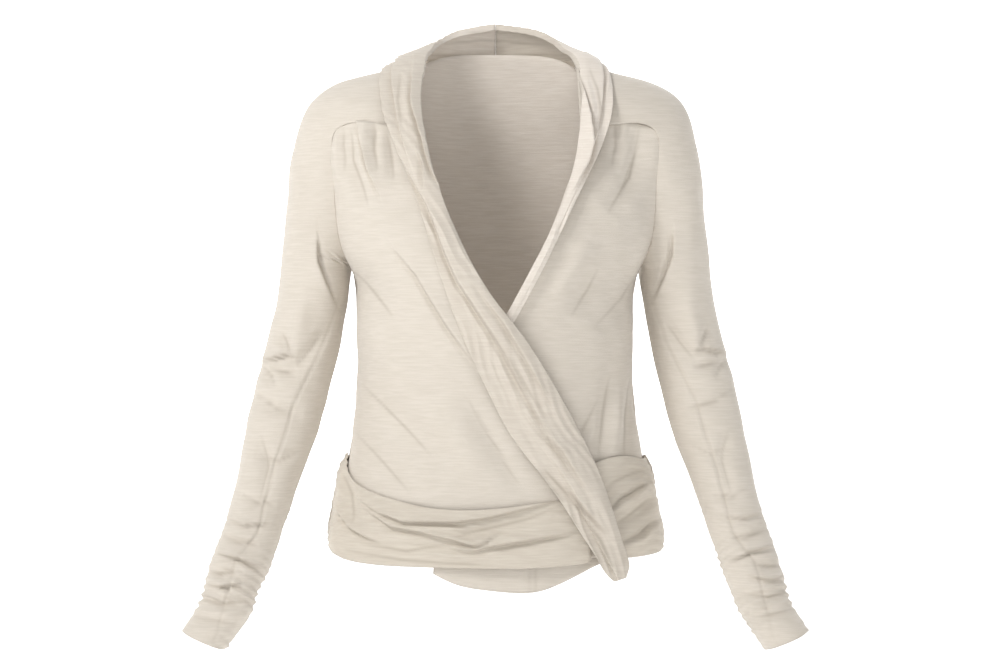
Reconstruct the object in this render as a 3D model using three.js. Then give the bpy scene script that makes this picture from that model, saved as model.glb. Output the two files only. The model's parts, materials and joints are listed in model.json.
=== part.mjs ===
// A worn wrap cardigan in fine jersey, hollow, with nobody in it.
//
// Millimetres, +Z up, the wearer faces -Y. The origin lies midway between the shoulders, on the line that
// joins their tops. +X is the wearer's left. Every piece is one sheet of cloth: a grid of points on its outer
// face, thickened inwards by WALL, so each piece is a closed solid that stays open where the garment is open.
import * as THREE from 'three';

// ---- Driving dimensions -------------------------------------------------------------------------------
const WALL = 1.2;            // thickness of one layer of cloth
const SEAM = 0.7;            // how far each sewn edge stops short of its seam line
const SASH_SEAM = 0.35;      // the same at the ends of the sash's stretches
const BACK_SEAM = 2.3;       // the same at the back of the armholes, where the cloth meets at a steeper angle
const SQUARENESS = 2.25;     // exponent of the body rings: 2 is an ellipse, more is boxier
const ARMPIT = -199;         // height of the underarm point
const HEM = -494;            // lower edge of the body, under the sash
const COLOUR = { cloth: 0xd3c9bb, inside: 0xe0d6c9, sash: 0xcdc2b3 };

// The body that the cloth stands on, ring by ring: half-width, and depth in front of and behind the side line.
const BODY = [
  { z: 40, width: 80, front: 30, back: 66 },
  { z: 20, width: 125, front: 45, back: 78 },
  { z: 0, width: 165, front: 62, back: 88 },
  { z: -25, width: 190, front: 72, back: 96 },
  { z: -50, width: 199, front: 84, back: 101 },
  { z: -100, width: 192, front: 100, back: 106 },
  { z: -150, width: 178, front: 118, back: 104 },
  { z: -180, width: 162, front: 126, back: 101 },
  { z: -200, width: 149, front: 128, back: 98 },
  { z: -240, width: 145, front: 124, back: 92 },
  { z: -300, width: 144, front: 112, back: 86 },
  { z: -350, width: 147, front: 106, back: 92 },
  { z: -400, width: 155, front: 105, back: 102 },
  { z: -450, width: 163, front: 107, back: 108 },
  { z: -500, width: 173, front: 108, back: 109 },
  { z: -540, width: 176, front: 107, back: 109 },
];

// Sleeve sections from the neck to the cuff. `out` is the outermost point, `in` the innermost one (both as
// distance from the middle and height), `y` the section's centre, `deep` its half-depth. The cloth goes round
// the section by `front` degrees one way and `back` degrees the other, and closes on itself at 180.
const SLEEVE = [
  { outX: 86, outZ: 19, inX: 92, inZ: -137, y: 4, deep: 68, front: 86, back: 22 },
  { outX: 117, outZ: 10, inX: 119, inZ: -122, y: 4, deep: 70, front: 86, back: 42 },
  { outX: 148, outZ: 3, inX: 144, inZ: -106, y: 4, deep: 62, front: 86, back: 64 },
  { outX: 172, outZ: -6, inX: 161, inZ: -110, y: 4, deep: 54, front: 87, back: 78 },
  { outX: 191, outZ: -18, inX: 151, inZ: -132, y: 4, deep: 52, front: 90, back: 90 },
  { outX: 203, outZ: -37, inX: 137, inZ: -157, y: 4, deep: 52, front: 93, back: 95 },
  { outX: 210, outZ: -62, inX: 134, inZ: -163, y: 3, deep: 51, front: 97, back: 101 },
  { outX: 215, outZ: -100, inX: 136, inZ: -172, y: 2, deep: 48, front: 104, back: 108 },
  { outX: 219, outZ: -142, inX: 143, inZ: -184, y: 1, deep: 46, front: 121, back: 124 },
  { outX: 222, outZ: -168, inX: 148, inZ: -193, y: 0, deep: 45, front: 146, back: 148 },
  { outX: 225, outZ: -185, inX: 151, inZ: -199, y: 0, deep: 44, front: 180, back: 180 },
  { outX: 229, outZ: -219, inX: 155, inZ: -231, y: 1, deep: 42, front: 180, back: 180 },
  { outX: 236, outZ: -258, inX: 162, inZ: -270, y: 1, deep: 40, front: 180, back: 180 },
  { outX: 247, outZ: -299, inX: 171, inZ: -312, y: -4, deep: 40, front: 180, back: 180 },
  { outX: 257, outZ: -347, inX: 184, inZ: -366, y: -20, deep: 38, front: 180, back: 180 },
  { outX: 265, outZ: -395, inX: 201, inZ: -412, y: -38, deep: 35, front: 180, back: 180 },
  { outX: 272, outZ: -436, inX: 214, inZ: -453, y: -55, deep: 32, front: 180, back: 180 },
  { outX: 282, outZ: -472, inX: 225, inZ: -485, y: -70, deep: 30, front: 180, back: 180 },
  { outX: 291, outZ: -500, inX: 233, inZ: -512, y: -81, deep: 29, front: 180, back: 180 },
  { outX: 298, outZ: -524, inX: 244, inZ: -533, y: -92, deep: 28, front: 180, back: 180 },
  { outX: 303, outZ: -543, inX: 249, inZ: -551, y: -101, deep: 27, front: 180, back: 180 },
  { outX: 317, outZ: -566, inX: 274, inZ: -586, y: -110, deep: 26, front: 180, back: 180 },
];

// The wrap edge of each front, under its collar, as distance towards the wearer's left at each height.
const RIGHT_WRAP = [
  { z: -50, x: -93 }, { z: -100, x: -76 }, { z: -150, x: -58 }, { z: -200, x: -40 }, { z: -250, x: -22 },
  { z: -300, x: 4 }, { z: -350, x: 28 }, { z: -400, x: 62 }, { z: -450, x: 94 }, { z: -500, x: 112 },
];
const LEFT_WRAP = [
  { z: -50, x: 104 }, { z: -100, x: 92 }, { z: -150, x: 72 }, { z: -200, x: 46 }, { z: -250, x: 18 },
  { z: -300, x: -8 }, { z: -350, x: -26 }, { z: -400, x: -42 }, { z: -450, x: -56 }, { z: -532, x: -66 },
];

// The left front's lower edge: it hangs below the sash in a shallow tail.
const TAIL_HEM = [
  { x: -66, z: -508 }, { x: -40, z: -522 }, { x: 0, z: -527 }, { x: 40, z: -530 }, { x: 75, z: -516 },
  { x: 108, z: -500 }, { x: 140, z: -492 }, { x: 180, z: -484 },
];

// Collar stations from the centre back, round the side of the neck and down the wrap. `edge` is the free outer
// edge and `roll` the folded inner edge. Where `y` is left out the edge lies on the front, `lift` above it.
const RIGHT_COLLAR = [
  { edgeX: -0.2, edgeZ: 14, edgeY: 92, rollX: -0.2, rollZ: 64, rollY: 62, puff: 7 },
  { edgeX: -34, edgeZ: 12, edgeY: 89, rollX: -34, rollZ: 60, rollY: 56, puff: 7 },
  { edgeX: -66, edgeZ: 12, edgeY: 76, rollX: -56, rollZ: 50, rollY: 42, puff: 8 },
  { edgeX: -96, edgeZ: 20, edgeY: 50, rollX: -67, rollZ: 37, rollY: 18, puff: 8 },
  { edgeX: -114, edgeZ: 19, edgeY: 14, rollX: -71, rollZ: 24, rollY: -12, puff: 9 },
  { edgeX: -121, edgeZ: 5, edgeY: -32, rollX: -74, rollZ: -6, rollY: -48, puff: 9 },
  { edgeX: -118, edgeZ: -28, edgeY: -65, rollX: -73, rollZ: -42, rollY: -76, puff: 7 },
  { edgeX: -109, edgeZ: -60, edgeY: -83, rollX: -66, rollZ: -76, rollY: -93, puff: 6 },
  { edgeX: -91, edgeZ: -101, rollX: -57, rollZ: -115, lift: 9, puff: 4 },
  { edgeX: -76, edgeZ: -141, rollX: -41, rollZ: -160, lift: 9, puff: 4 },
  { edgeX: -61, edgeZ: -190, rollX: -21, rollZ: -200, lift: 9, puff: 4 },
  { edgeX: -46, edgeZ: -236, rollX: 2, rollZ: -237, lift: 9, puff: 4 },
  { edgeX: -29, edgeZ: -281, rollX: 26, rollZ: -265, lift: 9, puff: 5 },
  { edgeX: -11, edgeZ: -317, rollX: 48, rollZ: -299, lift: 9, puff: 6 },
  { edgeX: 12, edgeZ: -366, rollX: 72, rollZ: -340, lift: 9, puff: 6 },
  { edgeX: 38, edgeZ: -399, rollX: 89, rollZ: -371, lift: 12, puff: 6 },
  { edgeX: 60, edgeZ: -426, rollX: 103, rollZ: -400, lift: 17, puff: 6 },
  { edgeX: 77, edgeZ: -453, rollX: 114, rollZ: -432, lift: 21, puff: 7 },
  { edgeX: 92, edgeZ: -476, rollX: 122, rollZ: -462, lift: 23, puff: 7 },
  { edgeX: 105, edgeZ: -497, rollX: 133, rollZ: -488, lift: 25, puff: 7 },
  { edgeX: 113, edgeZ: -511, rollX: 138, rollZ: -504, lift: 25, puff: 6 },
  { edgeX: 121, edgeZ: -519, rollX: 135, rollZ: -515, lift: 24, puff: 4 },
];
const LEFT_COLLAR = [
  { edgeX: 0.2, edgeZ: 14, edgeY: 92, rollX: 0.2, rollZ: 64, rollY: 62, puff: 7 },
  { edgeX: 34, edgeZ: 12, edgeY: 89, rollX: 34, rollZ: 60, rollY: 56, puff: 7 },
  { edgeX: 68, edgeZ: 12, edgeY: 76, rollX: 58, rollZ: 51, rollY: 42, puff: 8 },
  { edgeX: 96, edgeZ: 20, edgeY: 50, rollX: 72, rollZ: 35, rollY: 16, puff: 8 },
  { edgeX: 113, edgeZ: 19, edgeY: 12, rollX: 80, rollZ: 24, rollY: -14, puff: 9 },
  { edgeX: 122, edgeZ: 4, edgeY: -36, rollX: 85, rollZ: -2, rollY: -48, puff: 9 },
  { edgeX: 122, edgeZ: -31, edgeY: -68, rollX: 86, rollZ: -36, rollY: -74, puff: 7 },
  { edgeX: 114, edgeZ: -63, edgeY: -82, rollX: 84, rollZ: -62, rollY: -87, puff: 6 },
  { edgeX: 101, edgeZ: -93, rollX: 80, rollZ: -96, lift: 7, puff: 4 },
  { edgeX: 84, edgeZ: -126, rollX: 69, rollZ: -130, lift: 7, puff: 3 },
  { edgeX: 72, edgeZ: -153, rollX: 59, rollZ: -157, lift: 6, puff: 3 },
  { edgeX: 57, edgeZ: -185, rollX: 43, rollZ: -188, lift: 5, puff: 3 },
  { edgeX: 43, edgeZ: -212, rollX: 28, rollZ: -217, lift: 4, puff: 2 },
  { edgeX: 31, edgeZ: -234, rollX: 15, rollZ: -241, lift: 3.4, puff: 1 },
  { edgeX: 19, edgeZ: -256, rollX: 3, rollZ: -262, lift: 3.2, puff: 1 },
];

// Upper and lower edge of the sash, as heights at distances round the hips (degrees from the front middle).
const RIGHT_SASH = [
  { turn: -90, top: -392, low: -480 }, { turn: -74, top: -412, low: -490 }, { turn: -58, top: -424, low: -498 },
  { turn: -38, top: -436, low: -502 }, { turn: -18, top: -446, low: -503 }, { turn: 0, top: -446, low: -504 },
  { turn: 16, top: -438, low: -503 }, { turn: 30, top: -438, low: -499 },
];
const LEFT_SASH = [
  { turn: 37, top: -400, low: -494 }, { turn: 48, top: -394, low: -495 }, { turn: 62, top: -394, low: -493 },
  { turn: 78, top: -398, low: -490 }, { turn: 90, top: -396, low: -482 },
];
const BACK_SASH = [
  { turn: 90, top: -394, low: -481 }, { turn: 120, top: -402, low: -492 }, { turn: 150, top: -410, low: -498 },
  { turn: 180, top: -414, low: -500 }, { turn: 210, top: -410, low: -498 }, { turn: 240, top: -402, low: -492 },
  { turn: 270, top: -394, low: -481 },
];
const TOP_EDGE_LIFT = 2.4;   // the sash's top edge above the panel it hugs
// How far the sash stands off the body down its width, and how its folded layers step outwards.
const SASH_STEPS = [
  { down: 0, lift: 5 }, { down: 0.12, lift: 7.5 }, { down: 0.3, lift: 9 }, { down: 0.36, lift: 7 },
  { down: 0.56, lift: 9.5 }, { down: 0.62, lift: 7.5 }, { down: 0.86, lift: 9 }, { down: 1, lift: 6 },
];
// Across the collar, from its free edge to the roll and back underneath: share of the width, height, inset.
const COLLAR_STEPS = [
  { across: 0, rise: 0 }, { across: 0.16, rise: 0.2 }, { across: 0.3, rise: 0.25 }, { across: 0.34, rise: 0.8 },
  { across: 0.6, rise: 1 }, { across: 0.86, rise: 0.8 }, { across: 1, rise: 0.1 }, { across: 0.93, rise: -0.5 },
];

// ---- Helpers --------------------------------------------------------------------------------------------
const radians = THREE.MathUtils.degToRad;
const smooth = (t) => { const c = Math.min(1, Math.max(0, t)); return c * c * (3 - 2 * c); };
const steps = (count) => Array.from({ length: count + 1 }, (_, i) => i / count);

/** Value of one named column at a key, along a smooth curve through a table's rows. */
function read(rows, key, at, name) {
  const up = rows[0][key] < rows[rows.length - 1][key];
  const list = up ? rows : [...rows].reverse();
  const clamped = Math.min(list[list.length - 1][key], Math.max(list[0][key], at));
  let i = 0;
  while (i < list.length - 2 && clamped > list[i + 1][key]) i += 1;
  const [a, b] = [list[i], list[i + 1]];
  const [before, after] = [list[Math.max(0, i - 1)], list[Math.min(list.length - 1, i + 2)]];
  const span = b[key] - a[key];
  const t = (clamped - a[key]) / span;
  const slopeA = (b[name] - before[name]) / (b[key] - before[key]) * span;
  const slopeB = (after[name] - a[name]) / (after[key] - a[key]) * span;
  return (2 * t ** 3 - 3 * t ** 2 + 1) * a[name] + (t ** 3 - 2 * t ** 2 + t) * slopeA
    + (3 * t ** 2 - 2 * t ** 3) * b[name] + (t ** 3 - t ** 2) * slopeB;
}

/** The same for tables that are read by their row number, which may be a fraction. */
function readRow(rows, at, name) {
  return read(rows.map((row, index) => ({ index, value: row[name] })), 'index', at, 'value');
}

/** A point of the body ring at a height: turn is 0 in front, 90 at the wearer's left, 180 behind. */
function bodyPoint(turn, z, lift = 0) {
  const angle = radians(turn);
  const power = 2 / SQUARENESS;
  const side = Math.sign(Math.sin(angle)) * Math.abs(Math.sin(angle)) ** power;
  const ahead = Math.sign(Math.cos(angle)) * Math.abs(Math.cos(angle)) ** power;
  const depth = read(BODY, 'z', z, ahead > 0 ? 'front' : 'back') + lift;
  return new THREE.Vector3((read(BODY, 'z', z, 'width') + lift) * side, -depth * ahead, z);
}

/** The turn at which a body ring reaches a distance x from the middle, on the front half. */
function turnAt(x, z) {
  const share = Math.min(1, Math.abs(x) / read(BODY, 'z', z, 'width'));
  return Math.sign(x) * THREE.MathUtils.radToDeg(Math.asin(share ** (SQUARENESS / 2)));
}

/** A point of a sleeve: `row` counts along SLEEVE, `share` runs -1 at the back seam to 1 at the front seam. */
function sleevePoint(side, row, share) {
  const value = (name) => readRow(SLEEVE, row, name);
  const middle = new THREE.Vector3(side * (value('outX') + value('inX')) / 2, value('y'),
    (value('outZ') + value('inZ')) / 2);
  const arm = new THREE.Vector3(side * value('outX'), value('y'), value('outZ')).sub(middle);
  const angle = radians(share > 0 ? share * value('front') : share * value('back'));
  return middle.addScaledVector(arm, Math.cos(angle)).add(new THREE.Vector3(0, -value('deep') * Math.sin(angle), 0));
}

/** The armhole or yoke seam of a front (share 1) or of the back (share -1) at a height, below its corner. */
function armholePoint(side, z, share) {
  let [low, high] = [CORNER_ROW, CLOSED_ROW];
  for (let i = 0; i < 40; i += 1) {
    const row = (low + high) / 2;
    if (sleevePoint(side, row, share).z > z) low = row; else high = row;
  }
  return sleevePoint(side, low, share);
}
const CORNER_ROW = 3;
const CLOSED_ROW = 10;

/** Moves a grid's edges inwards, so that it stops short of its seams. */
function trim(grid, { top = 0, low = 0, start = 0, end = 0 }) {
  const pull = (edge, inner, gap) => {
    const length = edge.distanceTo(inner);
    return length > 1e-6 ? edge.clone().lerp(inner, Math.min(0.45, gap / length)) : edge.clone();
  };
  const result = grid.map((row) => row.map((p) => p.clone()));
  const last = grid.length - 1;
  const far = grid[0].length - 1;
  grid[0].forEach((p, j) => { if (top) result[0][j] = pull(p, grid[1][j], top); });
  grid[last].forEach((p, j) => { if (low) result[last][j] = pull(p, grid[last - 1][j], low); });
  result.forEach((row) => {
    if (start) row[0] = pull(row[0], row[1], start);
    if (end) row[far] = pull(row[far], row[far - 1], end);
  });
  return result;
}

/** Outward normals of a grid whose rows run downwards and whose columns run to the wearer's left in front. */
function gridNormals(grid) {
  const rows = grid.length;
  const columns = grid[0].length;
  return grid.map((row, i) => row.map((_, j) => {
    const down = grid[Math.min(rows - 1, i + 1)][j].clone().sub(grid[Math.max(0, i - 1)][j]);
    const across = grid[i][Math.min(columns - 1, j + 1)].clone().sub(grid[i][Math.max(0, j - 1)]);
    return down.cross(across).normalize();
  }));
}

/** A closed solid from a grid of points on its outer face, thickened inwards. */
function sheet(grid, wall = WALL) {
  const normals = gridNormals(grid);
  const rows = grid.length;
  const columns = grid[0].length;
  const positions = [];
  grid.forEach((row) => row.forEach((p) => positions.push(p.x, p.y, p.z)));
  grid.forEach((row, i) => row.forEach((p, j) => {
    const inner = p.clone().addScaledVector(normals[i][j], -wall);
    positions.push(inner.x, inner.y, inner.z);
  }));
  const outer = (i, j) => i * columns + j;
  const inner = (i, j) => rows * columns + i * columns + j;
  const index = [];
  const quad = (a, b, c, d) => index.push(a, b, c, a, c, d);
  for (let i = 0; i < rows - 1; i += 1) {
    for (let j = 0; j < columns - 1; j += 1) {
      quad(outer(i, j), outer(i + 1, j), outer(i + 1, j + 1), outer(i, j + 1));
      quad(inner(i, j), inner(i, j + 1), inner(i + 1, j + 1), inner(i + 1, j));
    }
  }
  for (let j = 0; j < columns - 1; j += 1) {
    quad(outer(0, j), outer(0, j + 1), inner(0, j + 1), inner(0, j));
    quad(outer(rows - 1, j), inner(rows - 1, j), inner(rows - 1, j + 1), outer(rows - 1, j + 1));
  }
  for (let i = 0; i < rows - 1; i += 1) {
    quad(outer(i, 0), inner(i, 0), inner(i + 1, 0), outer(i + 1, 0));
    quad(outer(i, columns - 1), outer(i + 1, columns - 1), inner(i + 1, columns - 1), inner(i, columns - 1));
  }
  const geometry = new THREE.BufferGeometry();
  geometry.setAttribute('position', new THREE.Float32BufferAttribute(positions, 3));
  geometry.setIndex(index);
  geometry.computeVertexNormals();
  return geometry;
}

function clothMesh(name, grid, color, wall = WALL) {
  const material = new THREE.MeshStandardMaterial({ color, roughness: 0.92, metalness: 0 });
  const mesh = new THREE.Mesh(sheet(grid, wall), material);
  mesh.name = name;
  return mesh;
}

// ---- Body panels ------------------------------------------------------------------------------------------
/** The yoke seam of a front or the back: where the panel's top edge meets the sleeve's saddle, by share 0..1
 * from the neck to the shoulder corner. */
const yokePoint = (side, share, face) => sleevePoint(side, share * CORNER_ROW, face);

/**
 * A front. Its top edge is the yoke seam and then the neck, its outer edge the armhole and the side seam, its
 * inner edge the wrap. The body rings give its shape, eased near the seams to meet the sleeve exactly.
 */
function frontGrid(side, wrap, hemAt, liftAt, rows = 20, columns = 14) {
  const corner = sleevePoint(side, CORNER_ROW, 1);
  return steps(rows).map((v) => steps(columns).map((u) => {
    const edgeHeight = THREE.MathUtils.lerp(corner.z, HEM, v);
    const outer = edgeHeight > ARMPIT ? armholePoint(side, edgeHeight, 1) : bodyPoint(side * 90, edgeHeight);
    const wrapX = read(wrap, 'z', edgeHeight, 'x');
    const outerTurn = turnAt(outer.x, edgeHeight);
    const turn = THREE.MathUtils.lerp(outerTurn, turnAt(wrapX, edgeHeight), u);
    const onBody = bodyPoint(turn, edgeHeight);
    const topShare = THREE.MathUtils.clamp((Math.abs(onBody.x) - 90) / (Math.abs(corner.x) - 90), 0, 1);
    const seam = yokePoint(side, topShare, 1);
    const nearTop = 1 - smooth(v / 0.14);
    const z = edgeHeight + (seam.z - corner.z) * nearTop + (hemAt(onBody.x) - HEM) * smooth((v - 0.75) / 0.25);
    const point = bodyPoint(turn, z, liftAt(turn, z));
    point.x = THREE.MathUtils.lerp(point.x, onBody.x, nearTop);
    const nearSide = 1 - smooth(u / 0.55);
    point.y += (outer.y - bodyPoint(outerTurn, edgeHeight).y) * nearSide * (1 - nearTop);
    point.y += (seam.y - bodyPoint(turnAt(onBody.x, seam.z), seam.z).y) * nearTop;
    if (u === 0) point.copy(outer);
    return point;
  }));
}

/** The back, from side seam to side seam, up to the neck and the back edges of the two saddles. */
function backGrid(rows = 16, columns = 18) {
  const corner = sleevePoint(1, CORNER_ROW, -1);
  const neck = sleevePoint(1, 0, -1);
  return steps(rows).map((v) => steps(columns).map((u) => {
    const edgeHeight = THREE.MathUtils.lerp(corner.z, HEM, v);
    const outer = edgeHeight > ARMPIT ? armholePoint(1, edgeHeight, -1) : bodyPoint(90, edgeHeight);
    const outerTurn = 180 - turnAt(outer.x, edgeHeight);
    const across = 2 * u - 1;
    const turn = 180 + across * (180 - outerTurn);
    const onBody = bodyPoint(turn, edgeHeight);
    const reach = Math.abs(onBody.x);
    const topShare = THREE.MathUtils.clamp((reach - neck.x) / (corner.x - neck.x), 0, 1);
    const seam = yokePoint(Math.sign(onBody.x) || 1, topShare, -1);
    const neckRise = reach < neck.x ? NECK_RISE * (1 - (reach / neck.x) ** 4) : 0;
    const nearTop = (1 - smooth(v / 0.3));
    const z = edgeHeight + (seam.z + neckRise - corner.z) * nearTop;
    const point = bodyPoint(turn, edgeHeight);
    point.z = z;
    const topBack = reach < neck.x ? THREE.MathUtils.lerp(NECK_BACK, neck.y, (reach / neck.x) ** 2) : seam.y;
    point.y = THREE.MathUtils.lerp(point.y, topBack, nearTop ** 1.3);
    const nearSide = 1 - smooth((1 - Math.abs(across)) / 0.4);
    point.y += (outer.y - bodyPoint(outerTurn, edgeHeight).y) * nearSide * (1 - nearTop);
    if (u === 0 || u === 1) point.set(-Math.sign(across) * outer.x, outer.y, outer.z);
    return point;
  }));
}
const NECK_RISE = 19;        // the middle of the back neck above the ends of the neck line
const NECK_BACK = 74;        // how far behind the side line the middle of the back neck lies

// ---- Collar -------------------------------------------------------------------------------------------------
/** One half of the shawl collar, as a strip of stations from the centre back to its lower end. */
function collarGrid(table, side, stations) {
  return steps(stations).map((v) => {
    const at = v * (table.length - 1);
    const frontShare = smooth((at - LAST_FREE_STATION) / 1);
    const edgeAndRoll = ['edge', 'roll'].map((name) => {
      const x = readRow(table, at, `${name}X`);
      const z = readRow(table, at, `${name}Z`);
      const lift = readRow(table.map((row) => ({ lift: row.lift ?? 9 })), at, 'lift');
      const onFront = bodyPoint(turnAt(x, z), z, lift).y;
      const free = readRow(table.map((row) => ({ y: row[`${name}Y`] ?? onFront })), at, 'y');
      return new THREE.Vector3(x, THREE.MathUtils.lerp(free, onFront, frontShare), z);
    });
    const [edge, roll] = edgeAndRoll;
    const outward = new THREE.Vector3(edge.x * 0.4 + roll.x * 0.1, 0, 0)
      .add(new THREE.Vector3(0, (edge.y + roll.y) / 2, 0)).setZ(COLLAR_UPTURN * (1 - frontShare)).normalize();
    if (frontShare > 0) outward.lerp(new THREE.Vector3(0, -1, 0), frontShare).normalize();
    const puff = readRow(table, at, 'puff');
    const row = COLLAR_STEPS.map((step) => edge.clone().lerp(roll, step.across)
      .addScaledVector(outward, puff * step.rise));
    return side < 0 ? row : row.reverse();
  });
}
const LAST_FREE_STATION = 7;
const COLLAR_UPTURN = 60;

// ---- Sash -----------------------------------------------------------------------------------------------------
/** One stretch of the folded sash round the hips, between two turns, hugging the panel under its top edge. */
function sashGrid(table, columns, panelLift = () => 0) {
  const [first, last] = [table[0].turn, table[table.length - 1].turn];
  return SASH_STEPS.map((step) => steps(columns).map((u) => {
    const turn = THREE.MathUtils.lerp(first, last, u);
    const z = THREE.MathUtils.lerp(read(table, 'turn', turn, 'top'), read(table, 'turn', turn, 'low'), step.down);
    return bodyPoint(turn, z, step.down === 0 ? TOP_EDGE_LIFT + panelLift(turn) : step.lift);
  }));
}

/** A sleeve with its saddle, from the neck to the open cuff. */
function sleeveGrid(side, rows = 34, columns = 14) {
  return steps(rows).map((v) => steps(columns).map((u) => {
    const share = side < 0 ? 2 * u - 1 : 1 - 2 * u;
    return sleevePoint(side, v * (SLEEVE.length - 1), share);
  }));
}

// ---- The garment -------------------------------------------------------------------------------------------------
const flatHem = () => HEM;
const tailHem = (x) => read(TAIL_HEM, 'x', Math.max(-66, Math.min(180, x)), 'z');
const overLift = (turn) => 3.2 * smooth((turn + 80) / 40);
const underLift = (turn) => -2.2 * smooth((70 - turn) / 40);

const garment = new THREE.Group();
garment.add(clothMesh('back', trim(backGrid(), { top: SEAM, start: BACK_SEAM, end: BACK_SEAM }), COLOUR.cloth));
garment.add(clothMesh('right_front', trim(frontGrid(-1, RIGHT_WRAP, flatHem, overLift),
  { top: SEAM, start: SEAM }), COLOUR.cloth));
const leftFront = frontGrid(1, LEFT_WRAP, tailHem, underLift).map((row) => row.reverse());
garment.add(clothMesh('left_front', trim(leftFront, { top: SEAM, end: SEAM }), COLOUR.cloth));
garment.add(clothMesh('right_sleeve', trim(sleeveGrid(-1), { start: SEAM, end: SEAM }), COLOUR.cloth));
garment.add(clothMesh('left_sleeve', trim(sleeveGrid(1), { start: SEAM, end: SEAM }), COLOUR.cloth));
garment.add(clothMesh('right_collar', collarGrid(RIGHT_COLLAR, -1, 27), COLOUR.inside, WALL));
garment.add(clothMesh('left_collar', collarGrid(LEFT_COLLAR, 1, 18), COLOUR.inside, WALL));
garment.add(clothMesh('right_sash', trim(sashGrid(RIGHT_SASH, 12, overLift), { start: SASH_SEAM }), COLOUR.sash, WALL));
garment.add(clothMesh('left_sash', trim(sashGrid(LEFT_SASH, 7), { end: SASH_SEAM }), COLOUR.sash, WALL));
garment.add(clothMesh('back_sash', trim(sashGrid(BACK_SASH, 14), { start: SASH_SEAM, end: SASH_SEAM }), COLOUR.sash, WALL));

export default garment;
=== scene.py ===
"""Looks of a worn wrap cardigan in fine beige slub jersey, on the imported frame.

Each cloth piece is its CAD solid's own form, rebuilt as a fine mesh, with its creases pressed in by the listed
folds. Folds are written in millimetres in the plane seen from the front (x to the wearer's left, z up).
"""

import logging
import math
from dataclasses import dataclass
from enum import Enum

import bmesh
import bpy
import numpy as np
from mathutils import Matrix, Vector
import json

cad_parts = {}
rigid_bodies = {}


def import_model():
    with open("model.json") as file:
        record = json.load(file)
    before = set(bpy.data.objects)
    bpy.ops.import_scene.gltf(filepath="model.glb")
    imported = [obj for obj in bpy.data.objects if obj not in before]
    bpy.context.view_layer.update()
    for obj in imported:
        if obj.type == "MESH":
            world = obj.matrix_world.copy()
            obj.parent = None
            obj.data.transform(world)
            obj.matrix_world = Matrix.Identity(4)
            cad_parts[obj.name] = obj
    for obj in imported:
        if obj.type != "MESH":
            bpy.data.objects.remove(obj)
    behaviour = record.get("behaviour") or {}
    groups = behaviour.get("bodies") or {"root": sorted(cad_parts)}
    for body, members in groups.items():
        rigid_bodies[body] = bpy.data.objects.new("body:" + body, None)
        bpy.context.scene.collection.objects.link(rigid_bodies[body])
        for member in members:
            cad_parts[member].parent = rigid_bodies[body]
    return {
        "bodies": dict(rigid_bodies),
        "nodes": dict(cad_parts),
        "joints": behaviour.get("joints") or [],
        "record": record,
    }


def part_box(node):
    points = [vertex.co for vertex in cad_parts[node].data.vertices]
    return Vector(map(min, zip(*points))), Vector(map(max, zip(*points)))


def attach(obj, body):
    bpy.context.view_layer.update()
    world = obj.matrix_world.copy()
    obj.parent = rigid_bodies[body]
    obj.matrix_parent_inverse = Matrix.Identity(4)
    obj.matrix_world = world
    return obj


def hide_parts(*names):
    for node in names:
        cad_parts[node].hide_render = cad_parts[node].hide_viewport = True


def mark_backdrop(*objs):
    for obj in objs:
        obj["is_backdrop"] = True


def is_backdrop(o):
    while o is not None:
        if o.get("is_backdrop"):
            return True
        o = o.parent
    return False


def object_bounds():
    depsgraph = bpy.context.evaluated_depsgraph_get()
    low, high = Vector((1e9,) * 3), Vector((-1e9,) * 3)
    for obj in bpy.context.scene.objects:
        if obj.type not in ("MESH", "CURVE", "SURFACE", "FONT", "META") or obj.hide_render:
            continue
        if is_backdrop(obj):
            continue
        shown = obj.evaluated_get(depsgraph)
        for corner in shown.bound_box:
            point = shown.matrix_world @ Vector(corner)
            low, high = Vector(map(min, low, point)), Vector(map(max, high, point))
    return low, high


LOG = logging.getLogger("cardigan")
MM = 0.001


class Shape(Enum):
    """How the cloth's height changes across a fold line."""

    TROUGH = "trough"
    RIDGE = "ridge"
    STEP_LEFT = "step_left"
    STEP_RIGHT = "step_right"


class Face(Enum):
    """The side of the garment that a fold lies on."""

    FRONT = -1
    BACK = 1
    BOTH = 0


@dataclass(frozen=True)
class Fold:
    """One crease: a line of (x, z) points, its half-width and its height, in millimetres.

    A step is high on the named side of the line, as one walks along it seen from the front, and falls off
    gently over `width`; on the other side the cloth drops at once.
    """

    line: tuple[tuple[float, float], ...]
    width: float
    height: float
    shape: Shape = Shape.TROUGH
    face: Face = Face.FRONT


@dataclass(frozen=True)
class Finish:
    """Surface of one jersey: colours of its cloth and slubs, the colour of the shade painted along its creases,
    its sheen and its relief in metres.
    """

    slot: str
    colour: str
    slub: str
    # crease and the next field: colour of the painted shade along fold lines, and how far it darkens the cloth's
    # colour.
    crease: str = "8f8475"
    crease_shade_strength: float = 0.55
    roughness: float = 0.93
    specular: float = 0.18
    sheen: float = 0.22
    sheen_roughness: float = 0.5
    slub_relief: float = 0.00048
    cloud_relief: float = 0.00064
    knit_relief: float = 0.00050


@dataclass(frozen=True)
class Piece:
    """One cloth piece: its CAD node, finish, flat cut in metres and square metres, and folds.

    Ripple and crinkle are heights in mm, relief multiplies the height of its folds, and across is the (x, z)
    direction across its crinkles. A sleeve's arm_side is -1 on the wearer's right and 1 on the left.
    """

    node: str
    finish: str
    flat: tuple[float, float]
    area: float
    folds: tuple[Fold, ...] = ()
    ripple: float = 1.3
    relief: float = 2.1
    crinkle: float = 0.0
    across: tuple[float, float] = (0.2, 0.98)
    arm_side: int = 0
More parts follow.
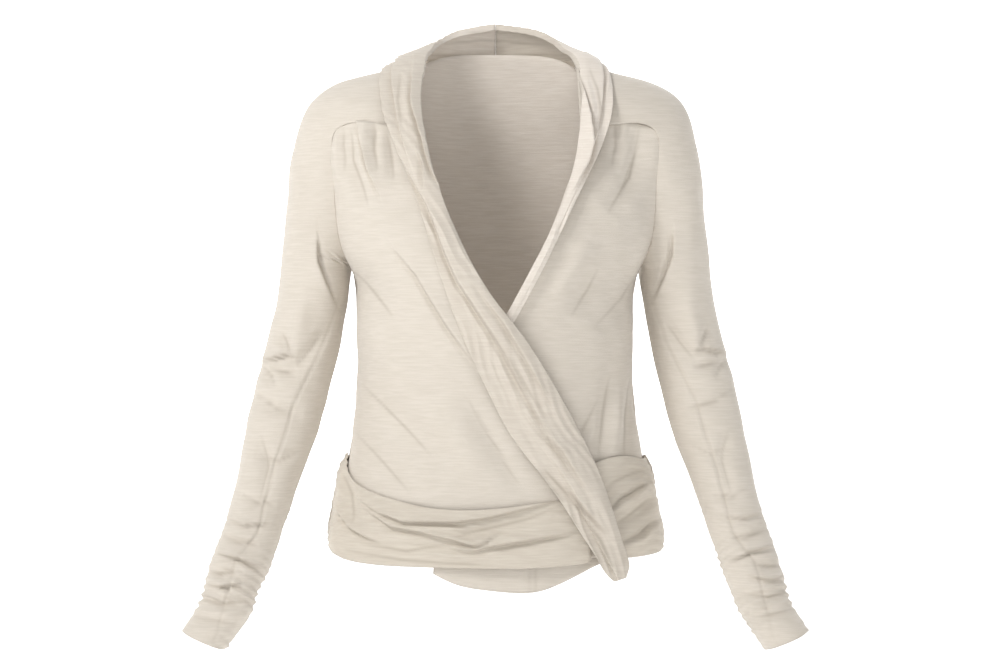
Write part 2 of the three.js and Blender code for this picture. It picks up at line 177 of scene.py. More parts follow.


# The jersey's reverse shares the body's slot; its colours are painted a little lighter, as painted light for the
# shaded inside of the garment.
FINISHES = {
    "body": Finish("body_jersey", "cdc5ba", "c6beb2"),
    "inside": Finish("body_jersey", "dad2c8", "d2c9be"),
    "collar": Finish("collar_jersey", "cbc3b7", "c3baae"),
    "sash": Finish("sash_jersey", "c8c0b3", "c1b8ab"),
}

# The arm's middle line from the shoulder to the cuff: distance from the middle, depth and height in mm.
ARM_LINE = ((150, 4, -70), (185, 0, -150), (190, 0, -200), (200, 0, -265), (209, -4, -305), (220, -20, -356),
            (233, -38, -403), (243, -55, -444), (253, -70, -478), (262, -81, -506), (271, -92, -528),
            (276, -101, -547), (295, -110, -576))

REFINE_LEVEL = 3       # times that a CAD sheet's mesh is subdivided
STEP_EDGE = 0.9        # mm over which a step's steep side falls
STEP_HOLLOW = 0.45     # depth of the hollow at a step's foot, as a share of its height
HOLLOW_AT = 1.5        # mm from the step to the middle of that hollow
HOLLOW_WIDTH = 2.6     # mm: half-width of that hollow
END_FADE = 0.6         # power by which a fold fades towards its ends
RUCHE_TOP = -420.0     # height in mm from which the lower sleeve gathers into creases
RUCHE_FADE = 110.0     # mm over which that gathering grows to its full depth
RIM_LENGTH = 1.5       # mm: a face with a shorter edge is part of a sheet's rim
SEAM_REACH = 1.3       # mm that a sheet's edge reaches over its seam gap
CREASE_SHADE_SPREAD = 1.5      # mm either side of a fold line over which shade is painted into the colour
FULL_SHADE_HEIGHT = 3.5        # mm: a fold of this height or more gets the full painted shade
FACE_SLOPE = 2.2       # how fast a fold fades where the cloth turns round to the other side
FACE_REACH = 0.25      # share of a fold left where the cloth faces sideways
REVERSE_LIMIT = -0.2   # a face that points inwards by more than this is on the reverse
LAYER_CLEARANCE = 3.2  # mm that an upper layer may sink towards the panel under it
BODY_FLATNESS = 2.2    # how much wider than deep the body is, where its outward direction is found
NECK_TIP = (60, 0.8)   # mm over which that direction tips upwards at the neck, and by how much
ARM_TIP = (70, 90)     # mm below the shoulder where the arm's tips upwards, and over how many mm

# Noise scales, in cells for each metre.
SLUB_SCALE = (45, 45, 700)   # a slub is about 22 mm long and 1.4 mm thick
CLOUD_SCALE = (60, 60, 260)  # a patch of thicker yarn is about 17 mm long and 4 mm high
KNIT_SCALE = 1500.0          # a stitch is about 0.7 mm, which is as fine as shows
SLUB_FADE = (0.38, 0.66)     # noise values between which a slub fades into the cloth


def mirrored(folds: tuple[Fold, ...], shift: float = 0.0, strength: float = 1.0) -> tuple[Fold, ...]:
    """Repeats folds on the other side of the body.

    Args:
        folds: The folds to repeat.
        shift: How far each one is moved upwards, in mm, so that the sides differ.
        strength: Factor on each fold's height.

    Returns:
        The mirrored folds, with left and right steps exchanged.
    """
    swap = {Shape.STEP_LEFT: Shape.STEP_RIGHT, Shape.STEP_RIGHT: Shape.STEP_LEFT}
    return tuple(
        Fold(tuple((-x, z + shift) for x, z in f.line), f.width, f.height * strength,
             swap.get(f.shape, f.shape), f.face)
        for f in folds
    )


# The gathers fan out below the saddle seam, from the armhole towards the collar.
GATHERS = (
    Fold(((-143, -50), (-131, -95), (-118, -126)), 7, 3.6, Shape.STEP_LEFT),
    Fold(((-150, -56), (-149, -88), (-130, -136)), 8, 2.6),
    Fold(((-125, -50), (-126, -78), (-120, -100)), 6, 2.6),
    Fold(((-133, -48), (-132, -62), (-127, -76)), 5, 2.0, Shape.RIDGE),
    Fold(((-113, -58), (-104, -110)), 6, 2.0),
    Fold(((-158, -54), (-160, -72), (-156, -100)), 5, 1.8),
)
# The wrap pulls long folds down from the bust and the side towards the crossing.
FRONT_DRAPE = (
    Fold(((-104, -180), (-80, -208), (-50, -258), (-21, -299)), 13, 3.2, Shape.STEP_LEFT),
    Fold(((-150, -200), (-104, -250)), 14, 2.6),
    Fold(((-142, -252), (-70, -330)), 18, 2.0, Shape.RIDGE),
    Fold(((-140, -318), (-64, -392)), 20, 2.4),
    Fold(((-146, -370), (-88, -428)), 14, 2.2),
    Fold(((-60, -330), (-36, -372), (-16, -420)), 16, 2.2, Shape.RIDGE),
    Fold(((-30, -330), (28, -428)), 10, 1.8),
)
LEFT_DRAPE = (
    Fold(((106, -200), (96, -222), (77, -250)), 12, 2.4),
    Fold(((152, -70), (144, -106), (115, -144)), 14, 3.0),
    Fold(((98, -172), (58, -232)), 10, 2.2, Shape.RIDGE),
    Fold(((119, -310), (107, -395)), 8, 2.8),
    Fold(((143, -312), (134, -394)), 8, 2.6),
    Fold(((131, -318), (122, -394)), 8, 1.8, Shape.RIDGE),
    Fold(((107, -334), (81, -384)), 8, 2.0),
    Fold(((150, -205), (132, -232), (100, -262)), 14, 2.0),
)
# The collar lies in lengthwise layers, each a step that runs with the wrap edge.
COLLAR_RIGHT = (
    Fold(((-107, -62), (-98, -85), (-68, -138), (-50, -187), (-38, -214), (2, -276), (38, -343), (66, -388)),
         22, 4.4, Shape.STEP_LEFT),
    Fold(((-86, 8), (-85, -30), (-71, -79), (-62, -106), (-51, -120)), 12, 4.6, Shape.STEP_LEFT),
    Fold(((-80, -79), (-73, -93), (-72, -120)), 7, 2.4, Shape.STEP_LEFT),
    Fold(((-100, 6), (-102, -26), (-96, -58)), 7, 2.4),
    Fold(((-44, -140), (-36, -162), (-24, -186)), 8, 2.0),
    Fold(((-15, -226), (7, -255), (22, -280), (58, -344)), 9, 2.4, Shape.STEP_LEFT),
    Fold(((0, -270), (60, -366)), 7, 1.8),
    Fold(((34, -352), (66, -386), (92, -426)), 8, 2.6, Shape.STEP_LEFT),
    Fold(((50, -404), (78, -434)), 6, 3.4),
    Fold(((70, -420), (90, -446), (112, -470)), 8, 3.6, Shape.STEP_LEFT),
    Fold(((90, -452), (108, -476), (122, -506)), 7, 3.0),
    Fold(((98, -420), (110, -446), (122, -480)), 8, 2.2, Shape.RIDGE),
)
COLLAR_LEFT = (
    Fold(((86, 4), (96, -41), (100, -70), (95, -92), (84, -112)), 10, 4.2, Shape.STEP_RIGHT),
    Fold(((98, 10), (107, -14), (110, -35), (106, -60)), 7, 2.6),
    Fold(((76, -112), (66, -138), (50, -172)), 6, 2.0),
)
COLLAR_BACK = (
    Fold(((-62, 44), (-16, 50), (10, 49), (64, 42)), 6, 2.6, Shape.TROUGH, Face.BOTH),
    Fold(((-34, 57), (-6, 58)), 4, 1.6, Shape.TROUGH, Face.BOTH),
    Fold(((-90, 30), (-50, 33), (0, 31), (52, 34), (88, 30)), 7, 2.6, Shape.TROUGH, Face.BACK),
)
# The sash is pulled round the hips in oblique layers.
SASH_RIGHT = (
    Fold(((-142, -436), (-122, -448), (-93, -458), (-40, -458), (-8, -454), (64, -437)), 9, 3.6,
         Shape.STEP_LEFT),
    Fold(((-138, -444), (-105, -464), (-77, -468), (-24, -481), (-14, -480), (8, -466)), 7, 3.2,
         Shape.STEP_LEFT),
    Fold(((-44, -474), (-24, -468), (33, -455), (62, -443)), 6, 2.8),
    Fold(((-138, -481), (-91, -488), (-60, -482), (-40, -481)), 6, 2.8),
    Fold(((-48, -485), (-20, -487), (0, -482), (84, -468)), 7, 3.2, Shape.STEP_LEFT),
    Fold(((-156, -489), (-97, -497), (0, -502)), 5, 2.6),
    Fold(((-160, -412), (-150, -432), (-146, -462)), 7, 2.6),
    Fold(((-166, -450), (-150, -466), (-120, -480)), 7, 2.6, Shape.STEP_LEFT),
)
SASH_LEFT = (
    Fold(((119, -447), (131, -437), (158, -422)), 8, 3.4, Shape.STEP_RIGHT),
    Fold(((122, -463), (135, -456), (164, -436)), 6, 2.8),
    Fold(((129, -482), (149, -475), (158, -466), (170, -462)), 7, 3.0, Shape.STEP_RIGHT),
    Fold(((118, -421), (136, -413), (156, -408)), 6, 2.4),
)
SASH_BACK = (
    Fold(((-170, -428), (-110, -446), (-30, -452), (60, -444), (168, -424)), 9, 3.4, Shape.STEP_LEFT, Face.BACK),
    Fold(((-150, -462), (-70, -478), (20, -472), (120, -462)), 8, 3.0, Shape.TROUGH, Face.BACK),
    Fold(((-100, -420), (-20, -430), (90, -422)), 7, 2.2, Shape.TROUGH, Face.BACK),
    Fold(((-60, -490), (30, -488), (140, -476)), 6, 2.4, Shape.TROUGH, Face.BACK),
)
BACK_DRAPE = (
    Fold(((-150, -180), (-116, -214), (-60, -246)), 16, 3.0, Shape.TROUGH, Face.BACK),
    Fold(((150, -186), (112, -222), (50, -250)), 16, 3.0, Shape.TROUGH, Face.BACK),
    Fold(((-130, -300), (-60, -318), (30, -312), (124, -296)), 14, 2.6, Shape.RIDGE, Face.BACK),
    Fold(((-120, -334), (-40, -350), (60, -342), (128, -326)), 12, 2.6, Shape.TROUGH, Face.BACK),
    Fold(((-146, -120), (-128, -160), (-104, -190)), 10, 2.4, Shape.TROUGH, Face.BACK),
    Fold(((146, -116), (130, -158), (108, -186)), 10, 2.4, Shape.TROUGH, Face.BACK),
    Fold(((-40, -372), (10, -382), (70, -374)), 12, 2.0, Shape.TROUGH, Face.BACK),
)
# The right sleeve's folds: round the elbow, along the forearm and, closer together, above the cuff.
ARM_FOLDS = (
    Fold(((-244, -296), (-214, -288), (-204, -294)), 5, 3.4, Shape.STEP_LEFT),
    Fold(((-238, -304), (-220, -307), (-204, -307)), 5, 2.8),
    Fold(((-223, -266), (-212, -288)), 6, 2.4),
    Fold(((-246, -300), (-228, -320)), 6, 2.2),
    Fold(((-184, -168), (-183, -193), (-176, -214), (-168, -233)), 8, 3.4, Shape.STEP_RIGHT),
    Fold(((-200, -231), (-205, -262), (-217, -284)), 9, 2.0, Shape.RIDGE),
    Fold(((-176, -262), (-190, -282), (-206, -300)), 7, 2.2),
    Fold(((-250, -330), (-228, -344), (-196, -350)), 8, 2.4),
    Fold(((-242, -372), (-233, -404), (-242, -439)), 8, 2.0),
    Fold(((-200, -388), (-222, -398), (-250, -392)), 7, 2.0),
    Fold(((-260, -432), (-244, -440), (-222, -440)), 6, 2.4),
    Fold(((-276, -456), (-256, -462), (-230, -460)), 6, 2.6, Shape.STEP_LEFT),
    Fold(((-280, -474), (-262, -480), (-239, -482)), 5, 2.8),
    Fold(((-284, -490), (-260, -495), (-237, -507)), 5, 3.6, Shape.STEP_LEFT),
    Fold(((-296, -510), (-281, -511), (-262, -508)), 4, 2.8),
    Fold(((-294, -521), (-279, -523), (-256, -519)), 4, 3.0, Shape.STEP_LEFT),
    Fold(((-300, -536), (-278, -540), (-252, -538)), 5, 2.8),
    Fold(((-306, -552), (-286, -556), (-262, -560)), 5, 2.0),
    Fold(((-250, -292), (-214, -300), (-178, -296)), 7, 2.6, Shape.TROUGH, Face.BACK),
    Fold(((-256, -340), (-226, -352), (-190, -348)), 8, 2.6, Shape.TROUGH, Face.BACK),
    Fold(((-270, -420), (-240, -432), (-212, -430)), 7, 2.4, Shape.TROUGH, Face.BACK),
    Fold(((-284, -476), (-258, -484), (-230, -482)), 6, 2.6, Shape.STEP_LEFT, Face.BACK),
    Fold(((-296, -516), (-272, -524), (-246, -518)), 5, 2.6, Shape.TROUGH, Face.BACK),
    Fold(((-212, -70), (-206, -130), (-206, -190)), 12, 1.6, Shape.RIDGE, Face.BOTH),
)
SLEEVE_SEAM = Fold(((-162, -227), (-176, -273), (-206, -335), (-228, -408), (-242, -470), (-264, -498),
                    (-280, -570), (-288, -584)), 1.3, 0.9)
# Two rows of stitches along the left front's turned edge, on the tail below the sash.
TURNED_EDGE = tuple(Fold(((x, -480), (x, -556)), 1.2, 0.9) for x in (36, 42))

PIECES = (
    Piece("back", "body", (0.50, 0.53), 0.235, BACK_DRAPE),
    Piece("right_front", "body", (0.36, 0.46), 0.095, GATHERS + FRONT_DRAPE),
    Piece("left_front", "body", (0.34, 0.50), 0.09,
          mirrored(GATHERS[1:4], 4, 0.6) + LEFT_DRAPE + TURNED_EDGE),
    Piece("right_sleeve", "body", (0.26, 0.66), 0.13, ARM_FOLDS + (SLEEVE_SEAM,),
          ripple=1.2, relief=2.3, crinkle=2.1, across=(0.25, 0.97), arm_side=-1),
    Piece("left_sleeve", "body", (0.26, 0.66), 0.13, mirrored(ARM_FOLDS, 7, 0.9) + mirrored((SLEEVE_SEAM,)),
          ripple=1.2, relief=2.2, crinkle=2.0, across=(-0.25, 0.97), arm_side=1),
    Piece("right_collar", "collar", (0.08, 0.76), 0.042, COLLAR_RIGHT + COLLAR_BACK,
          ripple=0.8, relief=2.3, crinkle=1.25, across=(0.89, 0.45)),
    Piece("left_collar", "collar", (0.06, 0.42), 0.018, COLLAR_LEFT + COLLAR_BACK,
          ripple=0.8, relief=2.3, crinkle=1.2, across=(0.87, -0.5)),
    Piece("right_sash", "sash", (0.34, 0.11), 0.026, SASH_RIGHT,
          ripple=0.8, relief=2.2, crinkle=1.2, across=(0.12, 0.99)),
    Piece("left_sash", "sash", (0.15, 0.11), 0.013, SASH_LEFT,
          ripple=0.8, relief=2.2, crinkle=1.2, across=(-0.45, 0.89)),
    Piece("back_sash", "sash", (0.46, 0.12), 0.046, SASH_BACK,
          ripple=0.8, relief=2.0, crinkle=1.0, across=(0.05, 0.99)),
)


def srgb(text: str) -> tuple[float, float, float, float]:
    """Turns an sRGB hex colour into Blender's linear colour.

    Args:
        text: Six hex digits.

    Returns:
        Red, green, blue and alpha, linear.
    """
    values = [int(text[i:i + 2], 16) / 255 for i in (0, 2, 4)]
    return (*(v / 12.92 if v <= 0.04045 else ((v + 0.055) / 1.055) ** 2.4 for v in values), 1.0)


def distance_to_line(x: np.ndarray, z: np.ndarray, line: tuple) -> tuple[np.ndarray, np.ndarray]:
    """Signed distance to a broken line and the share of its length at the nearest point.

    Args:
        x: Sideways places in mm.
        z: Heights in mm.
        line: The (x, z) points.

    Returns:
        The distance, above 0 on the right as one walks along the line, and the share from 0 to 1.
    """
    points = np.array(line, dtype=float)
    lengths = np.hypot(*np.diff(points, axis=0).T)
    total, walked = lengths.sum(), 0.0
    best = np.full(x.shape, 1e9)
    signed, share = np.zeros_like(best), np.zeros_like(best)
    for a, b, length in zip(points[:-1], points[1:], lengths):
        along = (b - a) / length
        rx, rz = x - a[0], z - a[1]
        t = np.clip(rx * along[0] + rz * along[1], 0, length)
        gap = np.hypot(rx - t * along[0], rz - t * along[1])
        nearer = gap < best
        right = np.sign(rx * -along[1] + rz * along[0]) * -1
        best = np.where(nearer, gap, best)
        signed = np.where(nearer, gap * right, signed)
        share = np.where(nearer, (walked + t) / total, share)
        walked += length
    return signed, share


def fold_height(fold: Fold, x: np.ndarray, z: np.ndarray) -> np.ndarray:
    """Height that one fold adds to the cloth, in mm.

    Args:
        fold: The fold.
        x: Sideways places in mm.
        z: Heights in mm.

    Returns:
        The height at each place.
    """
    gap, share = distance_to_line(x, z, fold.line)
    taper = np.clip(np.sin(math.pi * np.clip(share, 0.02, 0.98)), 0, 1) ** END_FADE
    if fold.shape in (Shape.TROUGH, Shape.RIDGE):
        sign = 1 if fold.shape is Shape.RIDGE else -1
        return sign * fold.height * taper * np.exp(-((gap / fold.width) ** 2))
    high = gap if fold.shape is Shape.STEP_RIGHT else -gap
    rise = 1 / (1 + np.exp(-np.clip(high / (STEP_EDGE * 0.5), -30, 30)))
    hollow = -STEP_HOLLOW * np.exp(-((high + HOLLOW_AT) / HOLLOW_WIDTH) ** 2)
    return fold.height * taper * (rise * np.exp(-np.clip(high, 0, None) / fold.width) + hollow)


def ripples(places: np.ndarray, height: float, seed: float) -> np.ndarray:
    """Small uneven waves of worn jersey, as a sum of slanted sine waves.

    Args:
        places: N x 3 places in mm.
        height: Largest height in mm.
        seed: Phase that makes each piece its own.

    Returns:
        The height at each place.
    """
    x, y, z = places.T
    wave = np.sin(x / 17 + z / 41 + seed + 1.3 * np.sin(z / 37 + seed))
    wave += 0.7 * np.sin(z / 13 - x / 29 + 2.1 * seed + np.sin(x / 23))
    wave += 0.5 * np.sin((x + y) / 9 + z / 11 + 0.7 * seed + np.sin(z / 19))
    return height * wave / 2.2


def crinkles(places: np.ndarray, height: float, across: tuple[float, float], seed: float) -> np.ndarray:
    """Fine broken creases that run along one direction, as in crumpled jersey.

    Args:
        places: N x 3 places in mm.
        height: Largest height in mm.
        across: Unit (x, z) direction across the creases.
        seed: Phase that makes each piece its own.

    Returns:
        The height at each place.
    """
    over = places[:, 0] * across[0] + places[:, 2] * across[1] + 0.3 * places[:, 1]
    along = places[:, 2] * across[0] - places[:, 0] * across[1]
    coarse = np.sin(over / 2.9 + 2.2 * np.sin(along / 31 + seed) + np.sin(along / 15))
    coarse *= 0.5 + 0.5 * np.sin(along / 27 + over / 13 + seed)
    fine = np.sin(over / 1.7 + 1.9 * np.sin(along / 19 + 2 * seed))
    fine *= 0.5 + 0.5 * np.sin(along / 12 - over / 9 + seed)
    return height * (0.75 * (1 - 2 * np.abs(coarse)) + 0.3 * fine)


class ClothPiece:
    """A fine mesh on the form of one CAD node."""

    def __init__(self, spec: Piece, frame: dict, materials: dict[str, bpy.types.Material]) -> None:
        """Args:
            spec: What to build.
            frame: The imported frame.
            materials: Finish name to material.
        """
        self.spec = spec
        self.object = self._refined(frame["nodes"][spec.node])
        self._press_folds()
        self.object.data.materials.clear()
        self.object.data.materials.append(materials[spec.finish])
        # The reverse's finish: colours painted lighter, as painted light for the shaded inside.
        self.object.data.materials.append(materials["inside"])
        self._face_inwards()
        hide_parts(spec.node)
        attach(self.object, "root")

    def _refined(self, node: bpy.types.Object) -> bpy.types.Object:
        """Copies a node's mesh as quads with sharp hems, and subdivides it smoothly.

        Args:
            node: The CAD node.

        Returns:
            The fine mesh as a new object.
        """
        mesh = bpy.data.meshes.new(f"{self.spec.node}_cloth")
        shape = bmesh.new()
        shape.from_mesh(node.data)
        bmesh.ops.remove_doubles(shape, verts=shape.verts, dist=0.02 * MM)
        bmesh.ops.join_triangles(shape, faces=shape.faces, angle_face_threshold=math.radians(50),
                                 angle_shape_threshold=math.radians(80))
        bmesh.ops.recalc_face_normals(shape, faces=shape.faces)
        if self.spec.finish != "collar":
            self._reach_seams(shape)
        crease = shape.edges.layers.float.new("crease_edge")
        for edge in shape.edges:
            if len(edge.link_faces) == 2 and edge.calc_face_angle(0) > math.radians(60):
                edge[crease] = 1.0
        shape.to_mesh(mesh)
        shape.free()
        rough = bpy.data.objects.new(f"{self.spec.node}_rough", mesh)
        bpy.context.scene.collection.objects.link(rough)
        modifier = rough.modifiers.new("refine", "SUBSURF")
        modifier.levels = modifier.render_levels = REFINE_LEVEL
        graph = bpy.context.evaluated_depsgraph_get()
        fine = bpy.data.meshes.new_from_object(rough.evaluated_get(graph))
        bpy.data.objects.remove(rough)
        piece = bpy.data.objects.new(f"{self.spec.node}_cloth", fine)
        bpy.context.scene.collection.objects.link(piece)
        fine.shade_smooth()
        return piece

    def _face_inwards(self) -> None:
        """Gives the faces on the jersey's reverse, towards the wearer, their own finish, painted slightly
        lighter as painted light for the shaded inside.
        """
        mesh = self.object.data
        count = len(mesh.polygons)
        centres, normals = np.empty(count * 3), np.empty(count * 3)
        mesh.polygons.foreach_get("center", centres)
        mesh.polygons.foreach_get("normal", normals)
        outward = self._outward(centres.reshape(-1, 3) / MM)
        reverse = (outward * normals.reshape(-1, 3)).sum(axis=1) < REVERSE_LIMIT
        mesh.polygons.foreach_set("material_index", reverse.astype(np.int32))

    @staticmethod
    def _reach_seams(shape: bmesh.types.BMesh) -> None:
        """Lets the sheet's edges reach over the narrow gap that the solids keep at their seams.

        Args:
            shape: The sheet's mesh, which is changed.
        """
        push = {}
        for face in shape.faces:
            if min(edge.calc_length() for edge in face.edges) < RIM_LENGTH * MM:
                for corner in face.verts:
                    push[corner] = push.get(corner, Vector()) + face.normal
        for corner, way in push.items():
            corner.co += way.normalized() * SEAM_REACH * MM

    def _outward(self, places: np.ndarray) -> np.ndarray:
        """Finds the way out from the body's or the arm's middle line, in plan and a little upwards.

        Args:
            places: N x 3 places in mm.

        Returns:
            N x 3 unit directions.
        """
        if self.spec.arm_side:
            line = np.array(ARM_LINE, dtype=float)[::-1]
            centre_x = np.interp(places[:, 2], line[:, 2], line[:, 0]) * self.spec.arm_side
            centre_y = np.interp(places[:, 2], line[:, 2], line[:, 1])
            out = np.stack([places[:, 0] - centre_x, places[:, 1] - centre_y,
                            np.clip(places[:, 2] + ARM_TIP[0], 0, ARM_TIP[1])], axis=1)
        else:
            out = np.stack([places[:, 0] / BODY_FLATNESS, places[:, 1],
                            np.clip(places[:, 2], 0, NECK_TIP[0]) * NECK_TIP[1]], axis=1)
        return out / np.maximum(np.linalg.norm(out, axis=1, keepdims=True), 1e-6)

    def _press_folds(self) -> None:
        """Moves every point along its outward direction by the sum of the folds there, and stores the painted
        shade along the fold lines.
        """
        mesh = self.object.data
        flat = np.empty(len(mesh.vertices) * 3)
        mesh.vertices.foreach_get("co", flat)
        places = flat.reshape(-1, 3) / MM
        outward = self._outward(places)
        facing = outward[:, 1]
        seed = float(len(self.spec.node))
        height = ripples(places, self.spec.ripple, seed)
        where = np.clip((RUCHE_TOP - places[:, 2]) / RUCHE_FADE, 0, 1) if self.spec.arm_side else 1.0
        height += crinkles(places, self.spec.crinkle, self.spec.across, seed) * where
        crease_shade = np.zeros(len(places))
        for fold in self.spec.folds:
            turned = np.clip(facing * fold.face.value * FACE_SLOPE + FACE_REACH, 0, 1)
            shown = 1.0 if fold.face is Face.BOTH else turned
            height += self.spec.relief * fold_height(fold, places[:, 0], places[:, 2]) * shown
            # Painted shade: a darker colour along each fold line that is not a ridge, kept as a point attribute
            # for the material.
            if fold.shape is not Shape.RIDGE:
                gap, share = distance_to_line(places[:, 0], places[:, 2], fold.line)
                shade_amount = np.sin(math.pi * share) ** END_FADE * min(1.0, fold.height / FULL_SHADE_HEIGHT)
                crease_shade = np.maximum(crease_shade, np.exp(-((gap / CREASE_SHADE_SPREAD) ** 2)) * shade_amount * shown)
        if self.spec.finish != "body":
            height = np.where(height < 0, LAYER_CLEARANCE * np.tanh(height / LAYER_CLEARANCE), height)
        mesh.attributes.new("painted_crease_shade", "FLOAT", "POINT").data.foreach_set("value", crease_shade.astype(np.float32))
        mesh.vertices.foreach_set("co", ((places + outward * height[:, None]) * MM).ravel())
        mesh.update()


class Wardrobe:
    """Materials of the cloth."""

    @staticmethod
    def node(tree: bpy.types.NodeTree, kind: str, links: dict | None = None, **values) -> bpy.types.Node:
        """Adds one shader node.

        Args:
            tree: The node tree.
            kind: The node's type name.
            links: Input name to the output socket that feeds it.
            **values: Input values, with spaces written as underscores, or attributes in lower case.

        Returns:
            The new node.
        """
        item = tree.nodes.new(kind)
        for name, value in values.items():
            label = name.replace("_", " ")
            if hasattr(item, name):
                setattr(item, name, value)
            else:
                item.inputs[label].default_value = value
        for name, socket in (links or {}).items():
            tree.links.new(socket, item.inputs[name])
        return item

    @classmethod
    def jersey(cls, finish: Finish) -> bpy.types.Material:
        """Makes slub jersey: fine courses, uneven thick yarns across the cloth, a soft sheen and painted shade
        along the fold lines.

        Args:
            finish: The jersey's colours, its painted crease shade and its reliefs.

        Returns:
            The material, named for its slot.
        """
        material = bpy.data.materials.new(finish.slot)
        material.use_nodes = True
        tree = material.node_tree
        shader = tree.nodes["Principled BSDF"]
        place = cls.node(tree, "ShaderNodeTexCoord").outputs["Object"]
        stretched = cls.node(tree, "ShaderNodeMapping", {"Vector": place}, Scale=SLUB_SCALE)
        slub = cls.node(tree, "ShaderNodeTexNoise", {"Vector": stretched.outputs[0]}, Scale=1.0, Detail=4.0)
        clumped = cls.node(tree, "ShaderNodeMapping", {"Vector": place}, Scale=CLOUD_SCALE)
        patch = cls.node(tree, "ShaderNodeTexNoise", {"Vector": clumped.outputs[0]}, Scale=1.0, Detail=3.0)
        fine = cls.node(tree, "ShaderNodeTexNoise", {"Vector": place}, Scale=KNIT_SCALE, Detail=2.0)
        amount = cls.node(tree, "ShaderNodeMapRange", {"Value": slub.outputs[0]}, From_Min=SLUB_FADE[0],
                          From_Max=SLUB_FADE[1])
        tint = cls.node(tree, "ShaderNodeMix", {"Factor": amount.outputs[0]}, data_type="RGBA")
        tint.inputs[6].default_value = srgb(finish.slub)
        tint.inputs[7].default_value = srgb(finish.colour)
        relief = cls.node(tree, "ShaderNodeBump", {"Height": slub.outputs[0]}, Distance=finish.slub_relief,
                          Strength=0.5)
        cloud = cls.node(tree, "ShaderNodeBump", {"Height": patch.outputs[0], "Normal": relief.outputs[0]},
                         Distance=finish.cloud_relief, Strength=0.35)
        grain = cls.node(tree, "ShaderNodeBump", {"Height": fine.outputs[0], "Normal": cloud.outputs[0]},
                         Distance=finish.knit_relief, Strength=0.35)
        # Painted shade: the colour is darkened towards the crease colour along the fold lines.
        shade_amount = cls.node(tree, "ShaderNodeAttribute", attribute_name="painted_crease_shade")
        share = cls.node(tree, "ShaderNodeMapRange", {"Value": shade_amount.outputs["Fac"]}, To_Max=finish.crease_shade_strength)
        painted_shade_mix = cls.node(tree, "ShaderNodeMix", {"Factor": share.outputs[0]}, data_type="RGBA")
        tree.links.new(tint.outputs[2], painted_shade_mix.inputs[6])
        painted_shade_mix.inputs[7].default_value = srgb(finish.crease)
        tree.links.new(painted_shade_mix.outputs[2], shader.inputs["Base Color"])
        tree.links.new(grain.outputs[0], shader.inputs["Normal"])
        shader.inputs["Roughness"].default_value = finish.roughness
        shader.inputs["Specular IOR Level"].default_value = finish.specular
        shader.inputs["Sheen Weight"].default_value = finish.sheen
        shader.inputs["Sheen Roughness"].default_value = finish.sheen_roughness
        return material


@dataclass(frozen=True)
class Lamp:
    """A square soft light: its place and side in metres, and its power in watts."""

    name: str
    at: tuple[float, float, float]
    size: float
    power: float


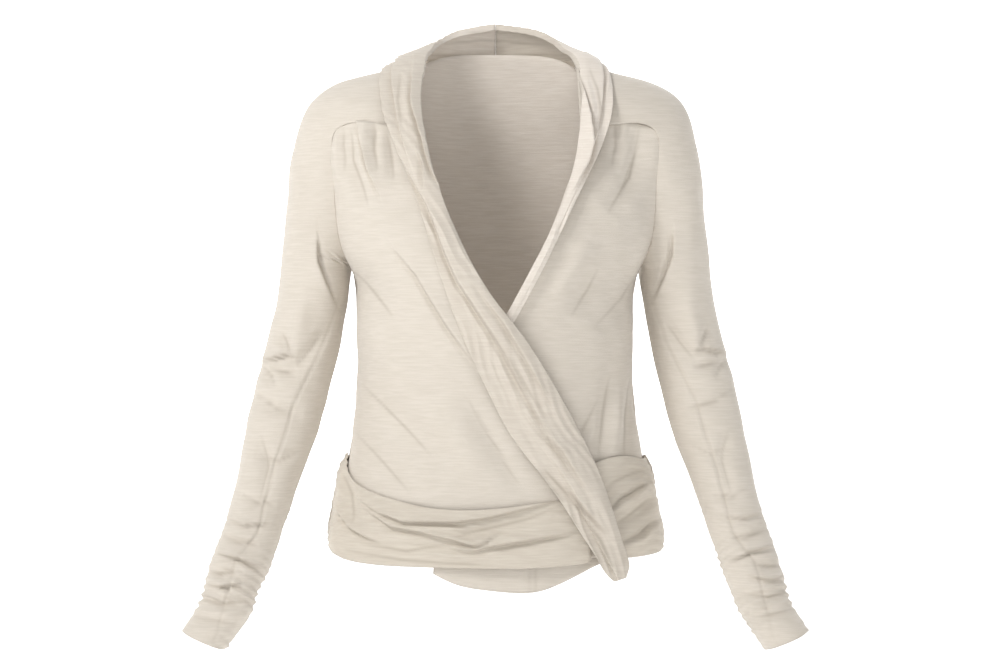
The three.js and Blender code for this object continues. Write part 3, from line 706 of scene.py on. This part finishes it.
@dataclass(frozen=True)
class Studio:
    """A white studio: camera, floor and soft lights, in metres."""

    camera_at: tuple[float, float, float] = (0.009, -3.2, -0.269)
    lens: float = 108.8
    floor_drop: float = 0.03
    floor_size: float = 30.0
    backdrop_at: float = 7.0
    floor_glow: float = 0.42
    backdrop_glow: float = 1.0
    world_strength: float = 0.50
    aim: tuple[float, float, float] = (0.0, 0.0, -0.25)
    lamps: tuple[Lamp, ...] = (
        Lamp("key", (-1.6, -1.7, 1.7), 0.9, 50.0),
        Lamp("fill", (1.9, -1.7, 0.5), 1.8, 4.0),
        Lamp("front", (0.0, -3.0, 0.4), 1.0, 6.0),
        Lamp("rim", (0.4, 1.6, 1.4), 1.2, 1.5),
    )

    def camera(self) -> None:
        """Sets the front camera, level with the middle of the garment."""
        data = bpy.data.cameras.new("front_camera")
        data.lens = self.lens
        data.sensor_width = 36.0
        camera = bpy.data.objects.new("front_camera", data)
        camera.location = self.camera_at
        camera.rotation_euler = (math.pi / 2, 0, 0)
        bpy.context.scene.collection.objects.link(camera)
        bpy.context.scene.camera = camera

    def area_light(self, lamp: Lamp) -> None:
        """Adds a lamp that points at the garment's middle.

        Args:
            lamp: The lamp to add.
        """
        data = bpy.data.lights.new(lamp.name, "AREA")
        data.size, data.energy = lamp.size, lamp.power
        light = bpy.data.objects.new(lamp.name, data)
        light.location = lamp.at
        light.rotation_euler = (Vector(self.aim) - Vector(lamp.at)).to_track_quat("-Z", "Y").to_euler()
        bpy.context.scene.collection.objects.link(light)
        light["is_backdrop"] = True

    def light(self, lowest: float) -> None:
        """Adds the white world, the floor, the backdrop and the lamps.

        Args:
            lowest: Height of the garment's lowest point, in metres.
        """
        world = bpy.data.worlds.new("studio")
        world.use_nodes = True
        world.node_tree.nodes["Background"].inputs["Color"].default_value = (1, 1, 1, 1)
        world.node_tree.nodes["Background"].inputs["Strength"].default_value = self.world_strength
        bpy.context.scene.world = world
        bpy.ops.mesh.primitive_plane_add(size=self.floor_size, location=(0, 0, lowest - self.floor_drop))
        floor = bpy.context.object
        floor.name = "studio_floor"
        floor.data.materials.append(self.white("studio_white", self.floor_glow))
        bpy.ops.mesh.primitive_plane_add(size=self.floor_size, location=(0, self.backdrop_at, 0),
                                         rotation=(math.pi / 2, 0, 0))
        backdrop = bpy.context.object
        backdrop.name = "studio_backdrop"
        backdrop.data.materials.append(self.white("studio_backdrop_white", self.backdrop_glow))
        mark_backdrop(floor, backdrop)
        for lamp in self.lamps:
            self.area_light(lamp)

    @staticmethod
    def white(name: str, glow: float) -> bpy.types.Material:
        """Makes a matt white that glows, for the floor and the backdrop.

        Args:
            name: The material's name.
            glow: Strength of its glow.

        Returns:
            The material.
        """
        material = bpy.data.materials.new(name)
        material.use_nodes = True
        inputs = material.node_tree.nodes["Principled BSDF"].inputs
        inputs["Base Color"].default_value = srgb("f4f4f4")
        inputs["Roughness"].default_value = 1.0
        inputs["Emission Color"].default_value = (1, 1, 1, 1)
        inputs["Emission Strength"].default_value = glow
        return material


def write_size(label: str, previous: str = "") -> str:
    """Puts the object's box in millimetres into a line of text, as plain lists.

    Args:
        label: The name of this measurement.
        previous: Earlier lines to keep.

    Returns:
        The earlier lines followed by this one.
    """
    low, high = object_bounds()
    line = f'"{label}": [{[round(v / MM, 1) for v in low]}, {[round(v / MM, 1) for v in high]}]'
    text = f"{previous},\n{line}" if previous else line
    return text


def main() -> None:
    """Builds the whole scene."""
    logging.basicConfig(level=logging.INFO)
    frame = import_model()
    studio = Studio()
    studio.camera()
    measured = write_size("cad")
    lowest = min(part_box(piece.node)[0][2] for piece in PIECES)
    studio.light(lowest)
    bpy.context.scene.view_settings.view_transform = "Standard"
    materials = {name: Wardrobe.jersey(finish) for name, finish in FINISHES.items()}
    for spec in PIECES:
        cloth = ClothPiece(spec, frame, materials)
        LOG.info("%s: %d faces", spec.node, len(cloth.object.data.polygons))
    write_size("looks", measured)


if __name__ == "__main__":
    main()
